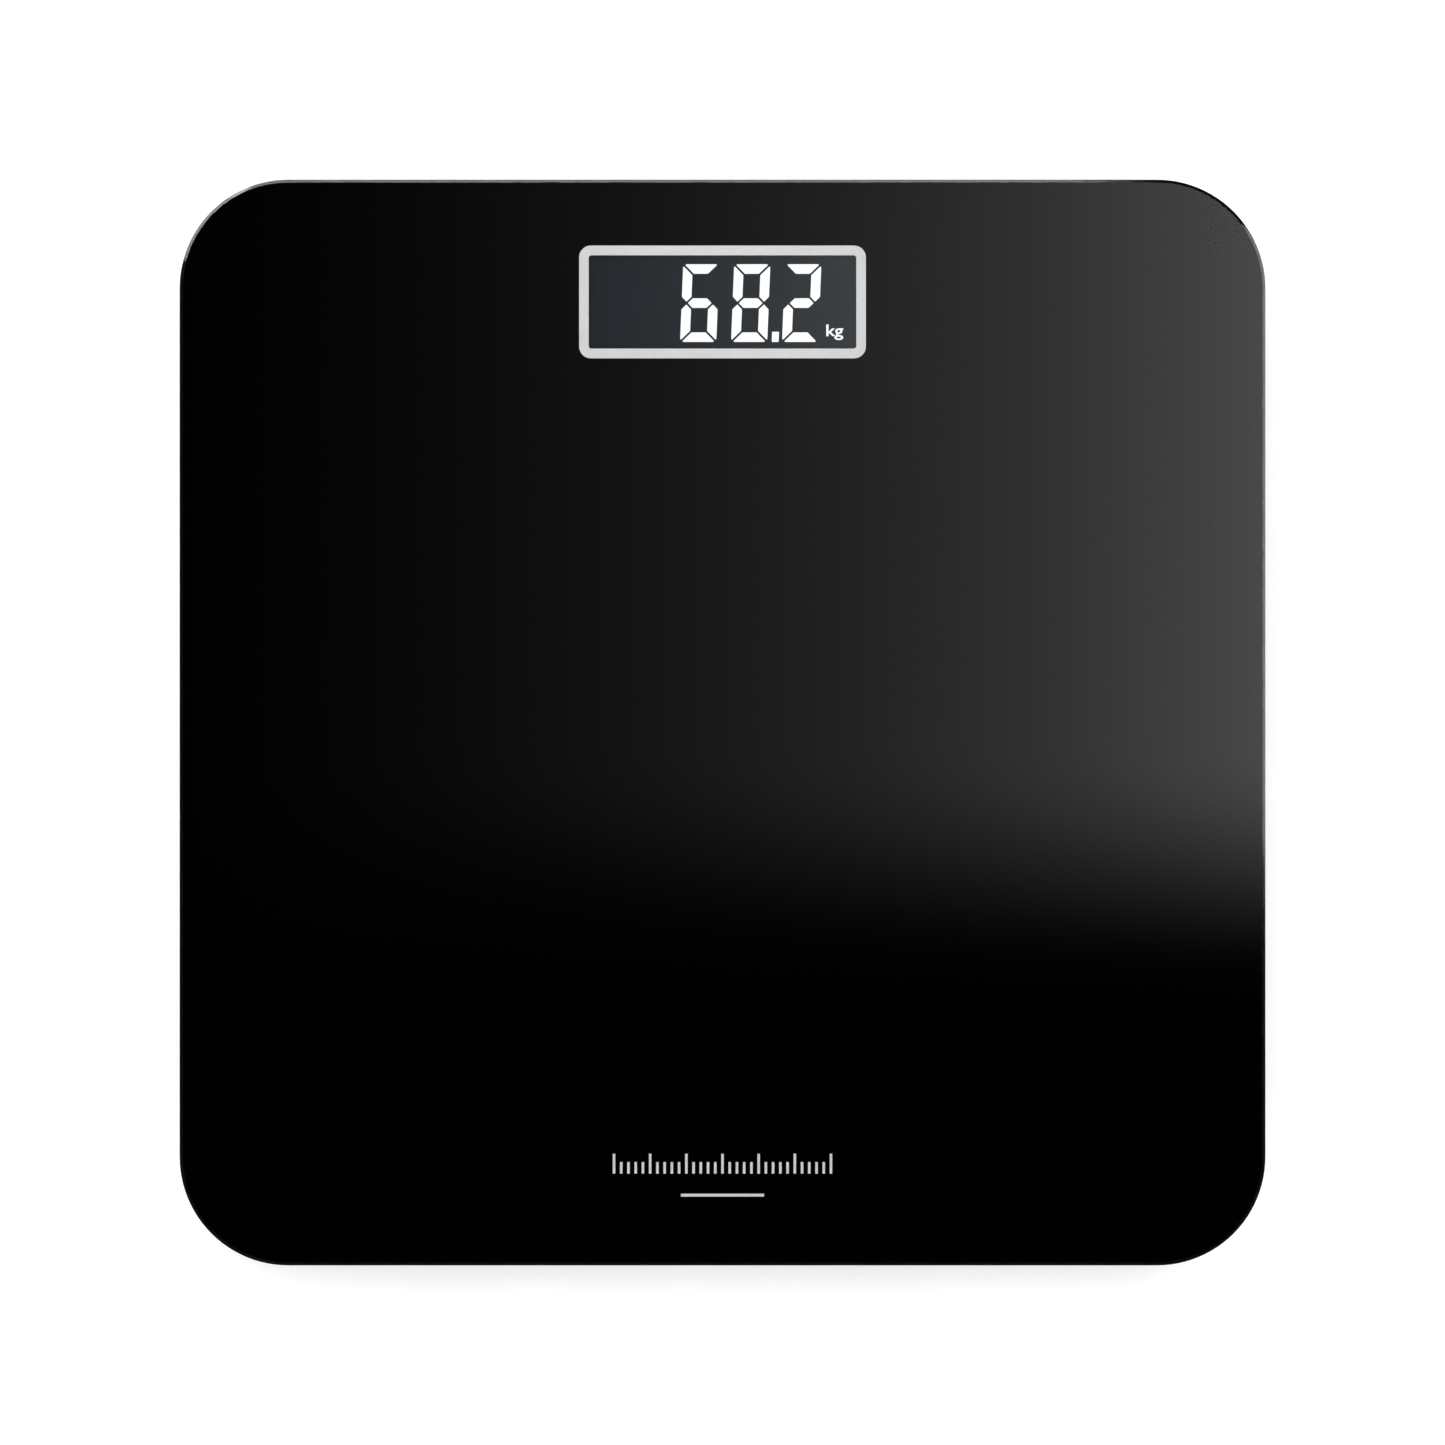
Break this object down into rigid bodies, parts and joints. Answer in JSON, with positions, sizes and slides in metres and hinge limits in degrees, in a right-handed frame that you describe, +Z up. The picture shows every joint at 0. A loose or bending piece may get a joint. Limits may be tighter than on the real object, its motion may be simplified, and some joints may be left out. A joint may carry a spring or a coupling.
{
  "type": "digital bathroom scale",
  "caption": "Square glass-topped digital bathroom scale with a lit numeric display, a shallow tray, sprung load-cell feet, a hinged battery door and a unit button.",
  "frame": {"origin": "on the floor under the middle of the glass platform", "axes": "+Z up, +Y towards the edge with the display, +X to the right of a person reading it"},
  "size_m": [0.3, 0.3, 0.022],
  "materials": {
    "tempered_glass": "polished",
    "black_film": "gloss black print",
    "silver_print": "satin silver ink",
    "foam_tape": "foam",
    "black_abs": "fine moulded texture",
    "label_film": "satin",
    "white_sealant": "soft satin",
    "zinc_steel": "zinc plated",
    "polariser_film": "satin",
    "display_glass": "polished",
    "clear_acrylic": "polished",
    "white_film": "satin",
    "white_plastic": "satin",
    "striped_rubber": "matte",
    "circuit_board": "solder mask",
    "black_epoxy": "satin",
    "nickel_can": "satin",
    "chip_ceramic": "satin",
    "solder": "bright",
    "switch_plastic": "satin",
    "cell_steel": "satin",
    "spring_steel": "nickel plated",
    "red_insulation": "satin",
    "white_insulation": "satin",
    "black_insulation": "satin",
    "cell_plate_steel": "zinc plated",
    "white_abs": "moulded",
    "foot_rubber": "fine texture"
  },
  "bodies": {
    "scale": {"backing_film": "black_film", "backlight_leds": "white_plastic", "backlight_reflector": "white_film", "base_tray": "black_abs", "board_screws": "zinc_steel", "bracket_pads": "foam_tape", "bracket_screws": "zinc_steel", "cell_bracket_front_left": "white_abs", "cell_bracket_front_right": "white_abs", "cell_bracket_rear_left": "white_abs", "cell_bracket_rear_right": "white_abs", "chip_components": "chip_ceramic", "clock_crystal": "nickel_can", "coin_cell": "cell_steel", "controller_cap": "black_epoxy", "display_housing": "black_abs", "elastomer_connector": "striped_rubber", "front_polariser": "polariser_film", "glass_platform": "tempered_glass", "graduation_mark": "silver_print", "housing_screws": "zinc_steel", "lcd_front_glass": "display_glass", "lcd_rear_glass": "display_glass", "light_guide": "clear_acrylic", "load_cell_front_left": "cell_plate_steel", "load_cell_front_right": "cell_plate_steel", "load_cell_rear_left": "cell_plate_steel", "load_cell_rear_right": "cell_plate_steel", "main_board": "circuit_board", "negative_contact": "spring_steel", "perimeter_tape": "foam_tape", "positive_contact": "spring_steel", "rating_label": "label_film", "rear_polariser": "polariser_film", "solder_joints": "solder", "strain_gauges": "white_sealant", "switch_body": "switch_plastic", "window_frame": "silver_print", "window_gasket": "foam_tape", "wires_black": "black_insulation", "wires_red": "red_insulation", "wires_white": "white_insulation"},
    "battery_door": {"battery_door": "black_abs"},
    "unit_button": {"unit_button": "black_abs", "switch_plunger": "switch_plastic"},
    "front_left_foot": {"foot_front_left": "black_abs", "foot_pad_front_left": "foot_rubber"},
    "front_right_foot": {"foot_front_right": "black_abs", "foot_pad_front_right": "foot_rubber"},
    "rear_left_foot": {"foot_rear_left": "black_abs", "foot_pad_rear_left": "foot_rubber"},
    "rear_right_foot": {"foot_rear_right": "black_abs", "foot_pad_rear_right": "foot_rubber"}
  },
  "joints": [
    {"name": "battery_door_hinge", "type": "hinge", "parent": "scale", "child": "battery_door", "pos_m": [0.02, 0.092, 0.0066], "axis": [1, 0, 0], "range_deg": [0, 90]},
    {"name": "unit_button_press", "type": "slide", "parent": "scale", "child": "unit_button", "axis": [0, 0, 1], "range_m": [0, 0.0005], "stiffness_N_per_m": 3200},
    {"name": "front_left_foot_press", "type": "slide", "parent": "scale", "child": "front_left_foot", "axis": [0, 0, 1], "range_m": [0, 0.0008], "stiffness_N_per_m": 1000, "springref_m": -0.005, "deforming": ["load_cell_front_left"]},
    {"name": "front_right_foot_press", "type": "slide", "parent": "scale", "child": "front_right_foot", "axis": [0, 0, 1], "range_m": [0, 0.0008], "stiffness_N_per_m": 1000, "springref_m": -0.005, "deforming": ["load_cell_front_right"]},
    {"name": "rear_left_foot_press", "type": "slide", "parent": "scale", "child": "rear_left_foot", "axis": [0, 0, 1], "range_m": [0, 0.0008], "stiffness_N_per_m": 1000, "springref_m": -0.005, "deforming": ["load_cell_rear_left"]},
    {"name": "rear_right_foot_press", "type": "slide", "parent": "scale", "child": "rear_right_foot", "axis": [0, 0, 1], "range_m": [0, 0.0008], "stiffness_N_per_m": 1000, "springref_m": -0.005, "deforming": ["load_cell_rear_right"]}
  ]
}
